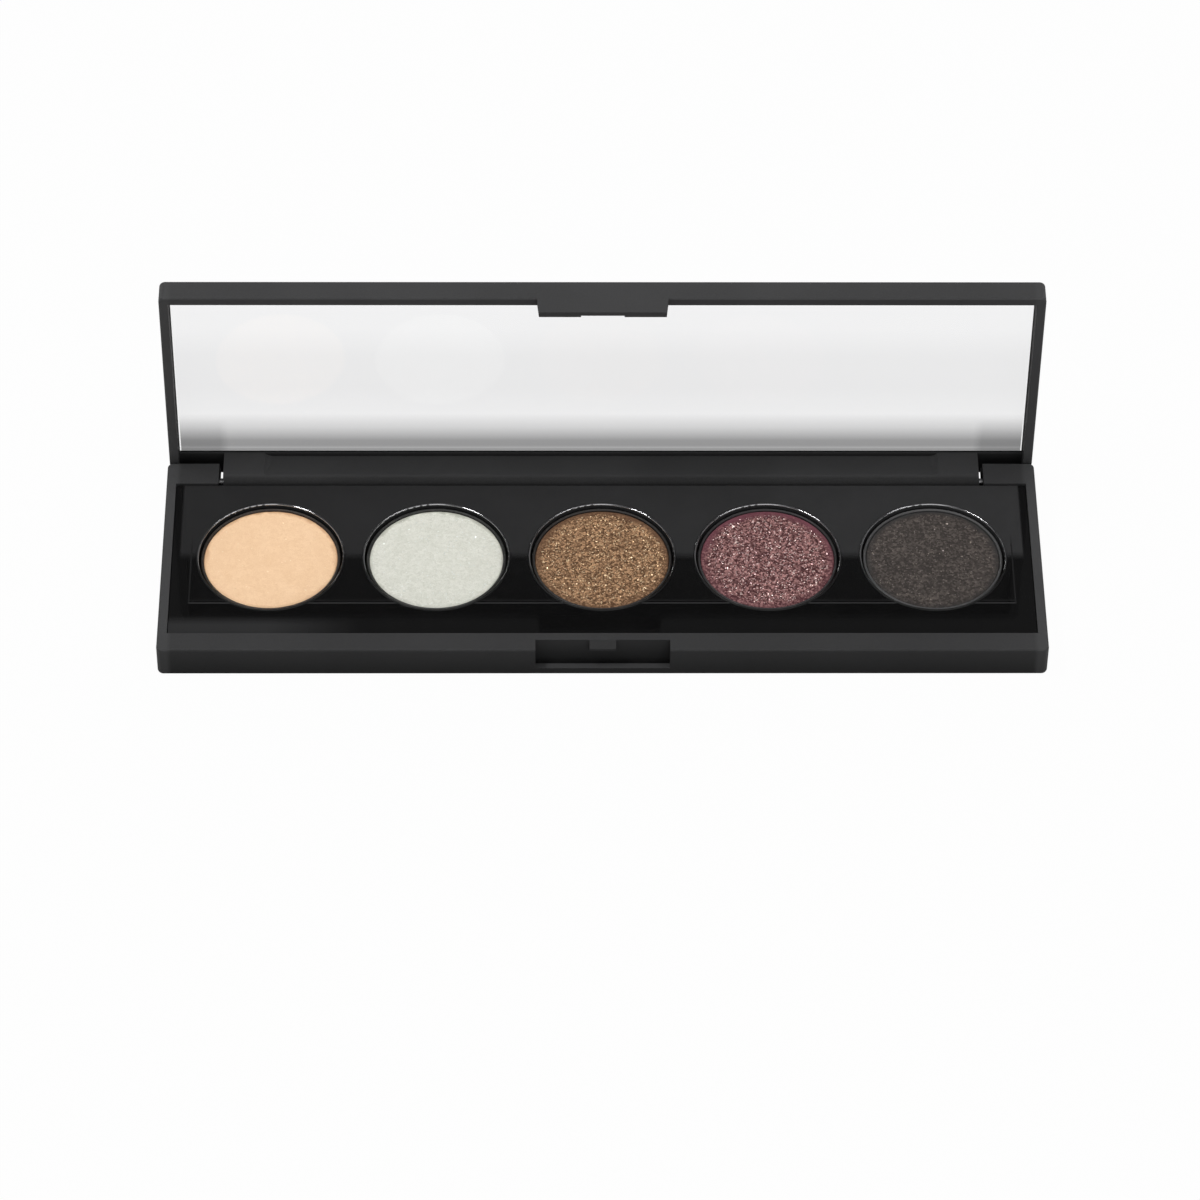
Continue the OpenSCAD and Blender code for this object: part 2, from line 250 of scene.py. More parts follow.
# The rims along the case's two ends are painted paler, a painted sheen where light grazes them.
END_RIM_FROM, END_RIM_FULL = 79.4 * MM, 80.2 * MM
END_SHEEN_GREY = 0.09
# The clouds' dark and the grain's light, and the most that each takes of the tone
CLOUD_GREY, CLOUD_SHARE = 0.001, 0.12
GRAIN_GREY, GRAIN_SHARE = 0.12, 0.10
# Parts of the normal from which a face counts as looking up, or forwards
LOOKS_UP, LOOKS_UP_FULL = 0.9, 0.99
LOOKS_FORWARD, LOOKS_FORWARD_FULL = -0.05, -0.3
# An edge is polished where no part of its normal reaches these, by this much less roughness.
EDGE_FROM, EDGE_FULL = 0.97, 0.88
EDGE_POLISH = 0.26


def soft_touch_black(look):
    """Matt lacquered plastic: a fine grain, faint clouds, edges polished where it is handled, and painted
    light and shade.
    """
    g = Graph(look["material"])
    cloud = g.noise(45, 3)
    grain = g.noise(9000, 2)
    place = g.axes(g.place)
    turned = g.axes(g.facing)

    # Painted shade: a wall that faces forwards darkens towards its foot.
    forward = g.span(turned["Y"], LOOKS_FORWARD, LOOKS_FORWARD_FULL)
    foot = g.product(g.span(place["Z"], look["wall_z"], look["foot_z"]), forward)
    wall = g.blend(foot, grey(look["wall"]), grey(look["foot"]))
    # Painted light: faces that look up are paler than walls, with a painted shade near the hinge.
    near_hinge = g.span(place[look["along"]], look["hinge_from"], look["hinge_full"])
    face = g.blend(near_hinge, grey(look["face"]), grey(look["hinge_shade"]))
    tone = g.blend(g.span(turned["Z"], LOOKS_UP, LOOKS_UP_FULL), wall, face)
    # Painted sheen: the rims at the case's two ends are paler.
    ends = g.span(g.size_of(place["X"]), END_RIM_FROM, END_RIM_FULL, 0.0, look["end_sheen_share"])
    tone = g.blend(ends, tone, grey(END_SHEEN_GREY))
    tone = g.blend(g.span(cloud, 0.35, 0.65, 0.0, CLOUD_SHARE), tone, grey(CLOUD_GREY))
    tone = g.blend(g.span(grain, 0.35, 0.7, 0.0, GRAIN_SHARE), tone, grey(GRAIN_GREY))

    # One where the surface looks straight along an axis, less on a rounded edge.
    across, forth, upright = [g.size_of(turned[axis]) for axis in "XYZ"]
    straight = g.math("MAXIMUM", g.math("MAXIMUM", across, forth), upright)
    polish = g.product(g.span(straight, EDGE_FROM, EDGE_FULL), g.span(near_hinge, 0.0, 1.0, EDGE_POLISH, 0.0))
    return g.finish(g.shader(
        Base_Color=tone,
        Roughness=g.math("SUBTRACT", g.span(cloud, 0.3, 0.7, 0.60, 0.68), polish),
        Specular_IOR_Level=0.2,
        Normal=g.bump(grain, 0.012 * MM, 0.5),
    ))


# Greys of the dark front half, and of the rear half at its left and right ends, a painted reflection, with
# its mottling
FRONT_GREYS = grey(0.0035), grey(0.0055)
REAR_LEFT_GREY, REAR_RIGHT_GREY, REAR_MOTTLE_GREY = grey(0.022), grey(0.034), grey(0.016)
# Where the rear half starts, how far along the case it goes, and between which places it turns paler
REAR_FROM, REAR_FULL = -0.6 * MM, 1.4 * MM
REAR_END, REAR_END_FULL = 78.9 * MM, 78.5 * MM
REAR_LEFT, REAR_RIGHT = -70 * MM, 70 * MM
# A painted reflection: a paler patch in the front left corner
CORNER_X, CORNER_X_FULL, CORNER_Y, CORNER_Y_FULL = -45 * MM, -62 * MM, -15.0 * MM, -17.2 * MM
CORNER_GREY = grey(0.027)
# Painted highlights as fine pale lines: two along the front and one along each end, which fades towards the
# rear
FRONT_LINE_Y, INNER_LINE_Y, FRONT_LINE_HALF = -11.75 * MM, -11.05 * MM, 0.16 * MM
FRONT_LINE_END, FRONT_LINE_END_FULL = 76.8 * MM, 76.6 * MM
END_LINE_X, END_LINE_HALF = 76.6 * MM, 0.18 * MM
END_LINE_REAR, END_LINE_REAR_FULL = 6 * MM, 3 * MM
END_LINE_FRONT, END_LINE_FRONT_FULL = -11.9 * MM, -11.6 * MM
FRONT_LINE_GREY, FAINT_LINE_GREY = grey(0.040), grey(0.016)


def gloss_black():
    """Polished black plastic: a painted reflection makes its rear half paler, with painted highlights as fine
    lines near its front and ends.
    """
    g = Graph("gloss_black")
    haze = g.noise(160, 4, 0.6)
    wave = g.noise(70, 1)
    x, y, _ = g.axes(g.place)
    wide = g.size_of(x)

    # Painted reflection: the rear half is paler, and paler towards the right, with mottling.
    painted_rear = g.blend(g.span(x, REAR_LEFT, REAR_RIGHT), REAR_LEFT_GREY, REAR_RIGHT_GREY)
    painted_rear = g.blend(g.span(haze, 0.3, 0.7, 0.0, 0.2), painted_rear, REAR_MOTTLE_GREY)
    rear = g.product(g.span(y, REAR_FROM, REAR_FULL), g.span(wide, REAR_END, REAR_END_FULL))
    tone = g.blend(rear, g.blend(haze, *FRONT_GREYS), painted_rear)
    # Painted reflection: a paler patch in the front left corner.
    corner = g.product(g.span(x, CORNER_X, CORNER_X_FULL), g.span(y, CORNER_Y, CORNER_Y_FULL))
    tone = g.blend(corner, tone, CORNER_GREY)

    # Painted highlights: fine pale lines near the front and along each end.
    level = g.span(g.axes(g.facing)["Z"], 0.98, 0.995)
    inside = g.product(g.span(wide, FRONT_LINE_END, FRONT_LINE_END_FULL), level)
    front_line = g.product(g.band(y, FRONT_LINE_Y, FRONT_LINE_HALF), inside)
    inner_line = g.product(g.band(y, INNER_LINE_Y, FRONT_LINE_HALF), inside)
    end_line = g.product(
        g.band(wide, END_LINE_X, END_LINE_HALF),
        g.span(y, END_LINE_REAR, END_LINE_REAR_FULL),
        g.span(y, END_LINE_FRONT, END_LINE_FRONT_FULL))
    tone = g.blend(front_line, tone, FRONT_LINE_GREY)
    tone = g.blend(g.math("MAXIMUM", inner_line, end_line), tone, FAINT_LINE_GREY)
    return g.finish(g.shader(
        Base_Color=tone,
        Roughness=g.span(haze, 0.35, 0.7, 0.04, 0.07),
        Specular_IOR_Level=0.5,
        Normal=g.bump(wave, 0.002 * MM, 0.4),
    ))


LIP_BLACKS = grey(0.004), grey(0.007)
LIP_SILVER = grey(0.32)
# Half of the width over which the lip's inner side turns into its outer side
LIP_BLUR = 0.02 * MM
SILVER_FROM, SILVER_FULL = -4 * MM, 5 * MM


def polished_lip():
    """Lip of a well: black gloss, rubbed silvery inside its rear half and duller outside."""
    g = Graph("polished_lip")
    rub = g.noise(900, 3)
    x, y, _ = g.axes(g.place)
    inner = g.span(g.from_pan(x, y), LIP_AT + LIP_BLUR, LIP_AT - LIP_BLUR)
    silver = g.product(inner, g.span(y, SILVER_FROM, SILVER_FULL))
    smooth = g.span(rub, 0.35, 0.7, 0.04, 0.07)
    return g.finish(g.shader(
        Base_Color=g.blend(silver, g.blend(rub, *LIP_BLACKS), LIP_SILVER),
        Metallic=g.product(silver, 0.95),
        Roughness=g.math("ADD", smooth, g.span(inner, 0.0, 1.0, 0.33, 0.0)),
        Specular_IOR_Level=0.2,
    ))


# Angle by which the mirror's reflections lean up from the level
MIRROR_LEAN = math.radians(25)
# Painted reflection: tone of the silver by its height in the glass, from foot to top, dark at the foot
MIRROR_TONES = (
    (0.0, 0.36), (0.009, 0.41), (0.016, 0.28), (0.027, 0.42), (0.042, 0.32), (0.075, 0.33), (0.10, 0.44),
    (0.16, 0.67), (0.25, 0.89), (0.42, 0.85), (0.62, 0.86), (0.8, 0.93), (1.0, 0.95),
)

# Painted shade: darker silver low down towards the glass's two ends
MIRROR_END, MIRROR_END_FULL = 70.5 * MM, 72.2 * MM
MIRROR_END_GREY, MIRROR_END_SHARE = grey(0.1), 0.35


def mirror_silver():
    """Silvered glass that shows the pale edge of the room, with a painted reflection that darkens it towards
    its foot.
    """
    g = Graph("mirror_silver")
    low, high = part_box("mirror")
    x, _, z = g.axes(g.place)
    # Painted reflection: the silver darkens towards the glass's foot.
    height = g.span(z, low.z, high.z)
    ramp = g.add("ShaderNodeValToRGB")
    g.join(height, ramp.inputs["Fac"])
    fill_ramp(ramp.color_ramp, [(at, rgb(level, level, level * 1.005)) for at, level in MIRROR_TONES])
    bevel = g.span(g.axes(g.facing)["Y"], -0.95, -0.8)
    # Painted shade: darker silver low down at the glass's two ends.
    ends = g.product(
        g.span(g.size_of(x), MIRROR_END, MIRROR_END_FULL), g.span(height, 0.22, 0.06, 0.0, MIRROR_END_SHARE))
    silver = g.blend(ends, ramp.outputs["Color"], MIRROR_END_GREY)
    lean = g.add("ShaderNodeNormalMap", space="OBJECT")
    lean.inputs["Color"].default_value = rgb(
        0.5, 0.5 - 0.5 * math.cos(MIRROR_LEAN), 0.5 + 0.5 * math.sin(MIRROR_LEAN))
    return g.finish(g.shader(
        Base_Color=g.blend(bevel, silver, rgb(1.0, 1.0, 1.0)),
        Metallic=0.92,
        Roughness=0.03,
        Normal=lean.outputs["Normal"],
        Coat_Weight=0.6,
        Coat_Roughness=0.02,
        Coat_IOR=1.5,
    ))


def dark_metal(number):
    """Stamped metal of a pan: a dark satin finish, dusted with the powder that it holds."""
    look = POWDERS[number]
    g = Graph(f"pan_metal_{number}")
    rub = g.noise(2500, 2)
    bare = g.blend(rub, grey(0.8 * look["metal"]), grey(1.2 * look["metal"]))
    return g.finish(g.shader(
        Base_Color=g.blend(g.span(rub, 0.45, 0.7, 0.05, 0.20), bare, look["dust"]),
        Metallic=0.3,
        Roughness=g.span(rub, 0.3, 0.7, 0.42, 0.52),
        Normal=g.bump(rub, 0.006 * MM, 0.4),
    ))


def pin_steel():
    """Drawn wire: fine streaks along the pin."""
    g = Graph("pin_steel")
    stretch = g.add("ShaderNodeMapping")
    g.join(g.place, stretch.inputs["Vector"])
    stretch.inputs["Scale"].default_value = (300, 9000, 9000)
    drawn = g.noise(1, 3, vector=stretch.outputs["Vector"])
    return g.finish(g.shader(
        Base_Color=g.blend(drawn, rgb(0.20, 0.20, 0.205), rgb(0.32, 0.32, 0.325)),
        Metallic=1.0,
        Roughness=g.span(drawn, 0.3, 0.7, 0.25, 0.4),
        Normal=g.bump(drawn, 0.008 * MM, 0.4),
    ))


def foam_tape():
    """The mirror's adhesive: off-white foam with fine pores."""
    g = Graph("adhesive_white")
    pores = g.noise(3500, 3, 0.6)
    return g.finish(g.shader(
        Base_Color=g.blend(pores, rgb(0.60, 0.60, 0.57), rgb(0.76, 0.76, 0.73)),
        Roughness=0.8,
        Normal=g.bump(pores, 0.02 * MM, 0.5),
    ))


def glue_amber():
    """Hot-melt glue: amber, a little translucent and uneven."""
    g = Graph("glue_amber")
    uneven = g.noise(500, 3)
    return g.finish(g.shader(
        Base_Color=g.blend(uneven, rgb(0.62, 0.48, 0.26), rgb(0.74, 0.60, 0.36)),
        Roughness=g.span(uneven, 0.3, 0.7, 0.25, 0.4),
        Subsurface_Weight=0.1,
        Subsurface_Radius=(1.0 * MM, 0.7 * MM, 0.4 * MM),
        Normal=g.bump(uneven, 0.05 * MM, 0.5),
    ))


# How far the outline of the powder's painted shade ring wanders, each way
RIM_WANDER = 0.5 * MM
# How far noise pushes the mica's cells out of shape
CELL_PUSH = 0.35 * MM


def pressed(look, centre_x, radius):
    """Pressed powder: mottled mica between two tones, with a painted shade as a darker ring at its edge."""
    g = Graph(look["slot"])
    x, y, _ = g.axes(g.place)
    away = g.length(g.math("SUBTRACT", x, centre_x), y)
    soft = g.noise(330, 3, 0.6)
    ragged = g.math("ADD", away, g.span(soft, 0.3, 0.7, -RIM_WANDER, RIM_WANDER))
    # Painted shade: a darker ring at the powder's edge, fuller at the rear than at the front.
    rim = g.span(ragged, radius - look["rim"] * MM, radius)
    rim = g.product(rim, g.span(y, -4 * MM, 9 * MM, look["rim_front"], 1.0))

    warp = g.add("ShaderNodeTexNoise")
    g.join(g.place, warp.inputs["Vector"])
    warp.inputs["Scale"].default_value = 3400
    warp.inputs["Detail"].default_value = 1.0
    push = g.add("ShaderNodeVectorMath", operation="MULTIPLY_ADD")
    g.join(warp.outputs["Color"], push.inputs[0])
    push.inputs[1].default_value = (CELL_PUSH, CELL_PUSH, CELL_PUSH)
    g.join(g.place, push.inputs[2])
    chance = g.chances(look["cells"], vector=push.outputs[0])
    grain = g.noise(5200, 2, 0.6)

    mica = g.product(g.math("POWER", chance["Red"], look["sparse"]), look["sparkle"])
    fine = g.span(grain, 0.3, 0.7, 0.0, 1.0 - look["sparkle"])
    cloud = g.span(soft, 0.3, 0.7, 1.0 - look["cloud"], 1.0 + look["cloud"])
    level = g.product(g.math("ADD", mica, fine), cloud, g.math("SUBTRACT", 1.0, rim))
    tone = g.blend(level, look["dark"], look["light"])
    return g.finish(g.shader(
        Base_Color=g.blend(rim, tone, look["deep"]),
        Metallic=g.span(level, 0.5, 1.0, 0.0, look["shine"]),
        Roughness=g.span(level, 0.3, 1.0, 0.75, 0.5),
        Specular_IOR_Level=0.3,
        Normal=g.bump(grain, 0.03 * MM, 0.6),
    ))


def flake_material(look):
    """Mica flakes: each one takes a tone of its own."""
    g = Graph(look["slot"] + "_flakes")
    chance = g.chances(1500)
    return g.finish(g.shader(
        Base_Color=g.blend(chance["Blue"], *look["flake"]),
        Metallic=0.7,
        Roughness=0.35,
    ))


# Looks of the powders. Colours: dark and light (the mica's two tones), deep (a painted shade at the edge),
# flake (two tones of the loose flakes), dust (on the pan) and metal (the pan's grey). Mica: cells (how fine),
# sparkle (contrast), sparse (how few are bright), cloud (mottling) and shine. rim is the width in mm of the
# painted shade ring, rim_front its share at the front, flakes the number of loose flakes, and relief the
# height of the grain in mm.
POWDERS = {
    1: dict(slot="powder_peach", dark=rgb(0.83, 0.54, 0.315), light=rgb(0.97, 0.69, 0.45),
            deep=rgb(0.62, 0.36, 0.20), dust=rgb(0.20, 0.13, 0.08), metal=0.012, rim=0.8, rim_front=0.35,
            cells=1500, sparkle=0.3, sparse=1.0, cloud=0.25, shine=0.1,
            flakes=60, flake=(rgb(1.0, 0.80, 0.60), rgb(1.0, 0.72, 0.5)), relief=0.010),
    2: dict(slot="powder_mint", dark=rgb(0.57, 0.575, 0.495), light=rgb(0.82, 0.82, 0.75),
            deep=rgb(0.44, 0.44, 0.38), dust=rgb(0.16, 0.16, 0.14), metal=0.012, rim=0.7, rim_front=0.3,
            cells=2000, sparkle=0.4, sparse=1.0, cloud=0.2, shine=0.15,
            flakes=200, flake=(rgb(0.86, 0.88, 0.84), rgb(0.76, 0.80, 0.76)), relief=0.012),
    3: dict(slot="powder_bronze", dark=rgb(0.060, 0.024, 0.008), light=rgb(0.60, 0.355, 0.19),
            deep=rgb(0.135, 0.068, 0.036), dust=rgb(0.08, 0.05, 0.03), metal=0.015, rim=1.7,
            rim_front=0.3, cells=3300, sparkle=0.9, sparse=2.0, cloud=0.15, shine=0.3,
            flakes=900, flake=(rgb(0.95, 0.74, 0.48), rgb(0.55, 0.36, 0.19)), relief=0.018),
    4: dict(slot="powder_plum", dark=rgb(0.040, 0.007, 0.009), light=rgb(0.51, 0.265, 0.25),
            deep=rgb(0.165, 0.052, 0.070), dust=rgb(0.06, 0.035, 0.04), metal=0.02, rim=2.0,
            rim_front=0.3, cells=3300, sparkle=0.95, sparse=2.4, cloud=0.15, shine=0.3,
            flakes=900, flake=(rgb(0.95, 0.78, 0.72), rgb(0.55, 0.34, 0.35)), relief=0.018),
    5: dict(slot="powder_charcoal", dark=rgb(0.020, 0.016, 0.014), light=rgb(0.116, 0.096, 0.085),
            deep=rgb(0.030, 0.029, 0.029), dust=rgb(0.10, 0.095, 0.09), metal=0.06, rim=1.2,
            rim_front=0.5, cells=2700, sparkle=0.8, sparse=2.1, cloud=0.35, shine=0.3,
            flakes=170, flake=(rgb(0.26, 0.22, 0.18), rgb(0.15, 0.13, 0.13)), relief=0.015),
}


# ---------------------------------------------------------------- powders

# Greatest distance between the rings of the powder's mesh
RING_STEP = 0.14 * MM
# By how much the face stands higher at its centre than at its edge
CROWN = 0.35 * MM
EDGE_ROUND = 0.22 * MM
# Gap between the powder and the pan
POWDER_GAP = 0.01 * MM
# The powder's foot is bevelled, as the pan's foot is rounded.
FOOT_HEIGHT = 0.4 * MM
FOOT_INSET = 0.36 * MM
# Sizes of the fine and the broad waves of the face
FINE_WAVE = 0.42 * MM
BROAD_WAVE = 4 * MM
FLAKE_HALF_THICK = 0.012 * MM
FLAKE_LIFT = 0.006 * MM
FLAKE_SIZES = 0.08, 0.17
FLAKE_TILT = 0.32
# Share of the painted shade ring that stays free of loose flakes
FLAKE_FREE = 0.6
# Fractal noise: increment, step between frequencies, and octaves
FRACTAL = 0.8, 2.0, 4
# Height of the broad waves as a share of the fine ones'
BROAD_SHARE = 0.8
# Base of the flakes' seeds, and the steps in the noise from powder to powder and from fine to broad
SEED = 40
POWDER_SHIFT, BROAD_SHIFT = 17.0, 9


def powder_height(x, y, radius, relief, shift):
    """Height of the pressed face over its edge, at a point measured from its centre."""
    away = math.hypot(x, y)
    height = CROWN * (1 - (away / radius) ** 2)
    inward = radius - away
    if inward < EDGE_ROUND:
        height -= EDGE_ROUND - math.sqrt(max(EDGE_ROUND ** 2 - (EDGE_ROUND - inward) ** 2, 0))
    fine = noise.fractal(Vector((x / FINE_WAVE, y / FINE_WAVE, shift)), *FRACTAL)
    broad = noise.noise(Vector((x / BROAD_WAVE, y / BROAD_WAVE, shift + BROAD_SHIFT)))
    return height + relief * MM * (fine + BROAD_SHARE * broad)


def powder_block(radius, surface, foot_z):
    """Points and faces of a closed powder block, with its crowned face from rings of triangles."""
    rings = int(radius / RING_STEP)
    step = radius / rings
    verts = [(0.0, 0.0, surface(0, 0))]
    starts = [0]
    for k in range(1, rings + 1):
        starts.append(len(verts))
        for j in range(6 * k):
            a = 2 * math.pi * j / (6 * k)
            x, y = k * step * math.cos(a), k * step * math.sin(a)
            verts.append((x, y, surface(x, y)))
    faces = []
    for k in range(1, rings + 1):
        outer, inner = starts[k], starts[k - 1]
        n_out, n_in = 6 * k, max(6 * (k - 1), 1)
        for side in range(6):
            for j in range(k):
                a = outer + (side * k + j) % n_out
                b = outer + (side * k + j + 1) % n_out
                c = inner + (side * (k - 1) + j) % n_in
                faces.append((a, b, c))
                if j < k - 1:
                    d = inner + (side * (k - 1) + j + 1) % n_in
                    faces.append((b, d, c))

    rim = starts[rings]
    count = 6 * rings
    edge = verts[rim:rim + count]
    below = len(verts)
    verts.extend((x, y, foot_z + FOOT_HEIGHT) for x, y, _ in edge)
    under = len(verts)
    foot = 1 - FOOT_INSET / radius
    verts.extend((x * foot, y * foot, foot_z) for x, y, _ in edge)
    for j in range(count):
        n = (j + 1) % count
        faces.append((rim + j, below + j, below + n, rim + n))
        faces.append((below + j, under + j, under + n, below + n))
    faces.append(tuple(under + j for j in reversed(range(count))))
    return verts, faces


def flake_parts(x, y, z, size, rng):
    """Corners and faces of one thin six-sided flake, tilted at random."""
    tilt = Vector((rng.normal(0, FLAKE_TILT), rng.normal(0, FLAKE_TILT), 1)).normalized()
    turn = tilt.to_track_quat("Z", "Y").to_matrix()
    start = rng.uniform(0, math.pi)
    corners = []
    for level in (-FLAKE_HALF_THICK, FLAKE_HALF_THICK):
        for k in range(6):
            a = start + k * math.pi / 3
            corner = Vector((size * math.cos(a), size * math.sin(a), level))
            corners.append(Vector((x, y, z)) + turn @ corner)
    faces = [(5, 4, 3, 2, 1, 0), (6, 7, 8, 9, 10, 11)]
    faces += [(k, (k + 1) % 6, 6 + (k + 1) % 6, 6 + k) for k in range(6)]
    return corners, faces


def make_powder(number):
    look = POWDERS[number]
    low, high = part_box(f"powder_{number}")
    centre = (low + high) / 2
    radius = (high.x - low.x) / 2 - POWDER_GAP
    rng = np.random.default_rng(SEED + number)
    shift = POWDER_SHIFT * number

    def surface(x, y):
        return high.z - CROWN + powder_height(x, y, radius, look["relief"], shift)

    verts, faces = powder_block(radius, surface, low.z)
    block_faces = len(faces)
    for _ in range(look["flakes"]):
        away = (radius - FLAKE_FREE * look["rim"] * MM) * math.sqrt(rng.uniform())
        a = rng.uniform(0, 2 * math.pi)
        x, y = away * math.cos(a), away * math.sin(a)
        size = rng.uniform(*FLAKE_SIZES) * MM
        corners, sides = flake_parts(x, y, surface(x, y) + FLAKE_LIFT, size, rng)
        first = len(verts)
        verts.extend(tuple(c) for c in corners)
        faces.extend(tuple(first + i for i in side) for side in sides)

    mesh = bpy.data.meshes.new(f"pressed_powder_{number}")
    mesh.from_pydata([(x + centre.x, y + centre.y, z) for x, y, z in verts], [], faces)
    mesh.materials.append(pressed(look, centre.x, radius))
    mesh.materials.append(flake_material(look))
    flat_foot = block_faces - 1
    for i, polygon in enumerate(mesh.polygons):
        polygon.use_smooth = i < flat_foot
        polygon.material_index = 0 if i < block_faces else 1
    piece = bpy.data.objects.new(f"pressed_powder_{number}", mesh)
    bpy.context.scene.collection.objects.link(piece)
    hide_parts(f"powder_{number}")
    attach(piece, "base")


# ---------------------------------------------------------------- lips

# Radius of the ring's rounding, and how far its crest stands over the insert's own lip
LIP_ROUND = 0.224 * MM
LIP_LIFT = 0.004 * MM
# Points of the ring round the well and over the lip, and how far the rounding goes to each side
LIP_AROUND, LIP_OVER = 240, 22
LIP_SIDE = 98


def make_lip(number, finish):
    """The rounded lip of one well, as a smooth closed ring just over the insert's own."""
    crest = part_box("insert")[1].z + LIP_LIFT
    verts, faces = [], []
    for i in range(LIP_AROUND):
        a = 2 * math.pi * i / LIP_AROUND
        for j in range(LIP_OVER):
            t = math.radians(-LIP_SIDE + 2 * LIP_SIDE * j / (LIP_OVER - 1))
            r = LIP_AT - LIP_ROUND * math.sin(t)
            z = crest - LIP_ROUND * (1 - math.cos(t))
            verts.append((pan_x(number) + r * math.cos(a), r * math.sin(a), z))
    for i in range(LIP_AROUND):
        here, there = i * LIP_OVER, (i + 1) % LIP_AROUND * LIP_OVER
        for j in range(LIP_OVER):
            k = (j + 1) % LIP_OVER
            faces.append((here + j, there + j, there + k, here + k))
    mesh = bpy.data.meshes.new(f"well_lip_{number}")
    mesh.from_pydata(verts, [], faces)
    mesh.materials.append(finish)
    for i, polygon in enumerate(mesh.polygons):
        polygon.use_smooth = i % LIP_OVER < LIP_OVER - 1
    piece = bpy.data.objects.new(f"well_lip_{number}", mesh)
    bpy.context.scene.collection.objects.link(piece)
    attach(piece, "base")


# ---------------------------------------------------------------- stage

FLOOR_HALF = 3.0
FLOOR_LEVEL = -0.01 * MM
# The floor's opening lies within the case's flat underside, clear of the slot behind the notch.
OPENING_END, OPENING_SLOT = 81.3 * MM, 12.6 * MM
OPENING_FRONT, OPENING_SLOT_BACK, OPENING_REAR = -23.35 * MM, -21.25 * MM, 23.35 * MM
# Share of plain white in what the camera sees of the floor. The rest is lit, and keeps the shadow.
FLOOR_WHITE = 0.975
FLOOR_GREYS = rgb(0.50, 0.50, 0.50), rgb(0.53, 0.53, 0.53)


def make_floor():
    """A pale floor, white to the camera, less the object's shadow. From below it is out of the way."""
    outer = [(-FLOOR_HALF, -FLOOR_HALF), (FLOOR_HALF, -FLOOR_HALF),
             (FLOOR_HALF, FLOOR_HALF), (-FLOOR_HALF, FLOOR_HALF)]
    opening = [(-OPENING_END, OPENING_FRONT), (-OPENING_SLOT, OPENING_FRONT),
               (-OPENING_SLOT, OPENING_SLOT_BACK), (OPENING_SLOT, OPENING_SLOT_BACK),
               (OPENING_SLOT, OPENING_FRONT), (OPENING_END, OPENING_FRONT),
               (OPENING_END, OPENING_REAR), (-OPENING_END, OPENING_REAR)]
    faces = [(0, 1, 9, 8, 7, 6, 5, 4), (1, 2, 10, 9), (2, 3, 11, 10), (3, 0, 4, 11)]
    mesh = bpy.data.meshes.new("floor")
    mesh.from_pydata([(x, y, FLOOR_LEVEL) for x, y in outer + opening], [], faces)
    floor = bpy.data.objects.new("floor", mesh)
    bpy.context.scene.collection.objects.link(floor)

    g = Graph("floor")
    paper = g.shader(
        Base_Color=g.blend(g.noise(60, 3), *FLOOR_GREYS),
        Roughness=0.9,
        Specular_IOR_Level=0.1,
    )
    glow = g.add("ShaderNodeEmission")
    glow.inputs["Color"].default_value = rgb(1, 1, 1)
    seen = g.add("ShaderNodeLightPath").outputs
    direct = g.math("MAXIMUM", seen["Is Camera Ray"], seen["Is Transmission Ray"])
    above = g.mix(g.product(direct, FLOOR_WHITE), paper, glow)
    side = g.add("ShaderNodeNewGeometry")
    clear = g.add("ShaderNodeBsdfTransparent")
    mesh.materials.append(g.finish(g.mix(side.outputs["Backfacing"], above, clear)))


# Brightness of the room by its height, from the horizon to overhead
ROOM_TONES = ((0.0, 1.0), (0.12, 1.0), (0.3, 0.5), (0.5, 0.1), (1.0, 0.09))


def make_world():
    """White to the camera; for light and gloss, a pale horizon under a dim ceiling."""
    world = bpy.data.worlds.new("studio")
    bpy.context.scene.world = world
    world.use_nodes = True
    tree = world.node_tree
    tree.nodes.clear()
    add, link = tree.nodes.new, tree.links.new
    out = add("ShaderNodeOutputWorld")
    room = add("ShaderNodeBackground")
    white = add("ShaderNodeBackground")
    white.inputs["Color"].default_value = rgb(1, 1, 1)
    coords = add("ShaderNodeTexCoord")
    split = add("ShaderNodeSeparateXYZ")
    ramp = add("ShaderNodeValToRGB")
    link(coords.outputs["Generated"], split.inputs[0])
    link(split.outputs["Z"], ramp.inputs["Fac"])
    fill_ramp(ramp.color_ramp, [(at, rgb(level, level, level)) for at, level in ROOM_TONES])
    link(ramp.outputs["Color"], room.inputs["Color"])
    path = add("ShaderNodeLightPath")
    direct = add("ShaderNodeMath")
    direct.operation = "MAXIMUM"
    link(path.outputs["Is Camera Ray"], direct.inputs[0])
    link(path.outputs["Is Transmission Ray"], direct.inputs[1])
    mix = add("ShaderNodeMixShader")
    link(direct.outputs[0], mix.inputs[0])
    link(room.outputs[0], mix.inputs[1])
    link(white.outputs[0], mix.inputs[2])
    link(mix.outputs[0], out.inputs["Surface"])


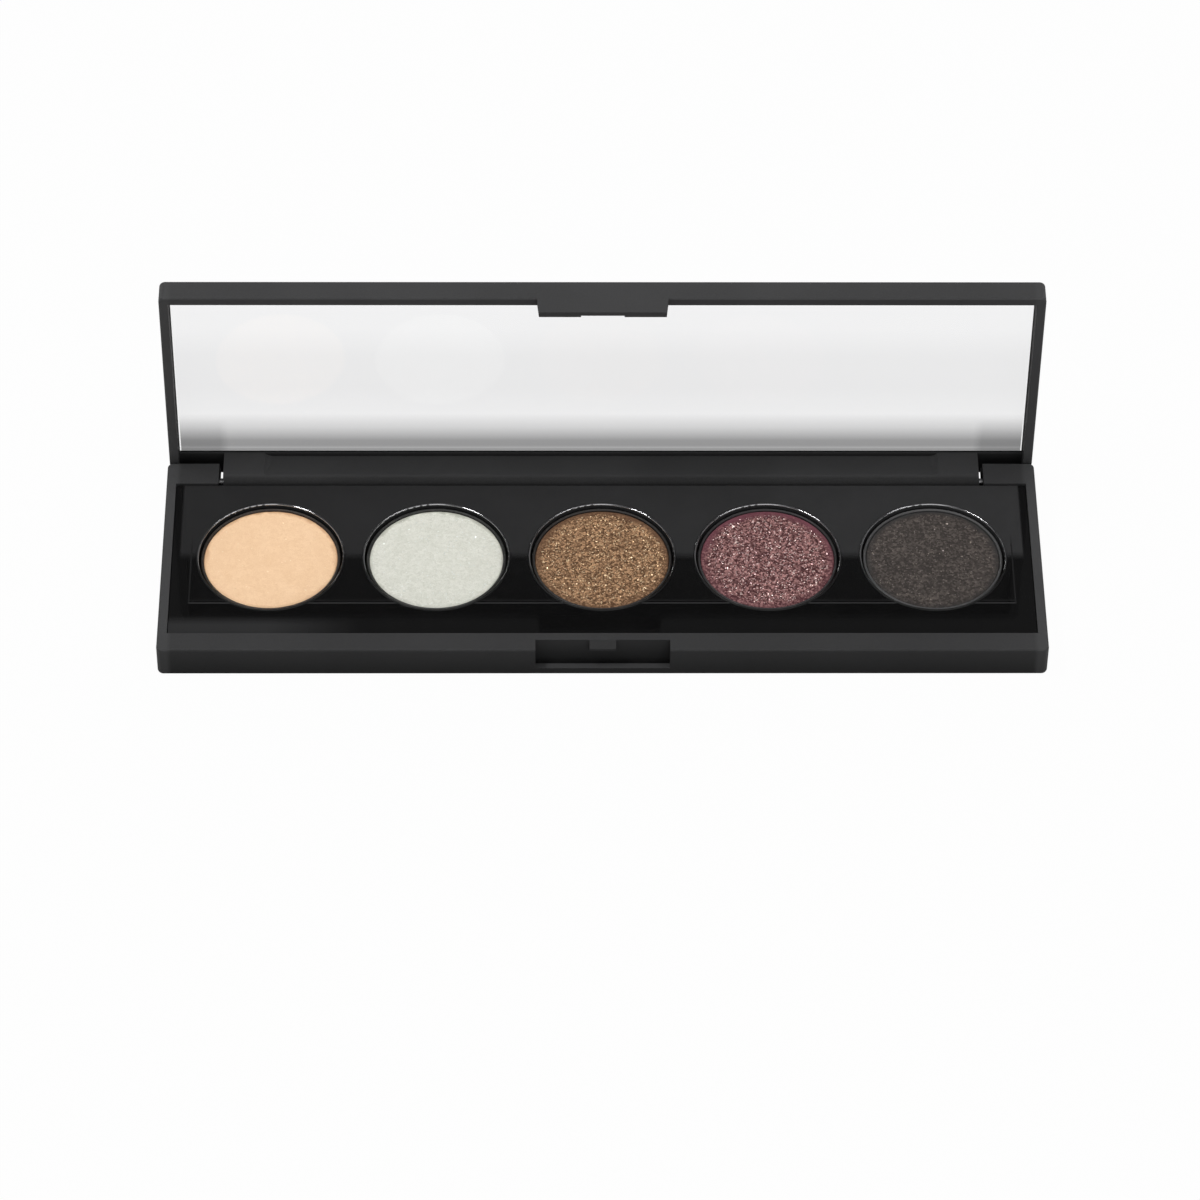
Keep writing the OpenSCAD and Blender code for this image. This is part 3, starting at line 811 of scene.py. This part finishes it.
# Lamps: place, what they aim at, width and height, all in metres, and radiance
LAMPS = {
    "top_back": ((0.05, 0.061, 0.85), (0.05, 0.061, 0), 1.0, 0.122, 0.5),
    "top_front": ((0.28, -0.28, 0.85), (0.28, -0.28, 0), 0.9, 0.5, 1.3),
    "left_strip": ((-0.315, 0.02, 0.72), (0, 0, 0), 0.40, 0.05, 42.0),
    "right_strip": ((0.34, 0.02, 0.72), (0, 0, 0), 0.50, 0.06, 9.0),
    "back_rim": ((0.0, 0.80, 0.45), (0.0, 0.029, 0.049), 1.2, 0.12, 4.0),
    "front": ((0.2, -0.9, 0.5), (0, 0, 0.02), 0.9, 0.45, 2.2),
}


def softbox(name, spot, aim, width, height, level):
    """A rectangular lamp of a given radiance."""
    data = bpy.data.lights.new(name, "AREA")
    data.shape = "RECTANGLE"
    data.size = width
    data.size_y = height
    data.energy = level * math.pi * width * height
    lamp = bpy.data.objects.new(name, data)
    lamp.location = spot
    lamp.rotation_mode = "QUATERNION"
    lamp.rotation_quaternion = (Vector(aim) - Vector(spot)).to_track_quat("-Z", "Y")
    bpy.context.scene.collection.objects.link(lamp)


# ---------------------------------------------------------------- assembly

def paint():
    """Gives every CAD node that is shown its material."""
    steel, amber = pin_steel(), glue_amber()
    finishes = {node: soft_touch_black(look) for node, look in SHELLS.items()}
    finishes["insert"] = gloss_black()
    finishes["mirror"] = mirror_silver()
    finishes["mirror_adhesive"] = foam_tape()
    finishes["hinge_pin_left"] = finishes["hinge_pin_right"] = steel
    for i in PANS:
        finishes[f"pan_{i}"] = dark_metal(i)
        finishes[f"glue_dot_{i}"] = amber
    for node, finish in finishes.items():
        mesh = NODES[node].data
        mesh.materials.clear()
        mesh.materials.append(finish)


make_camera()
make_floor()
make_world()
for lamp_name, settings in LAMPS.items():
    softbox(lamp_name, *settings)
paint()
lip_finish = polished_lip()
for pan_number in PANS:
    make_powder(pan_number)
    make_lip(pan_number, lip_finish)

bpy.context.scene.view_settings.view_transform = "Standard"
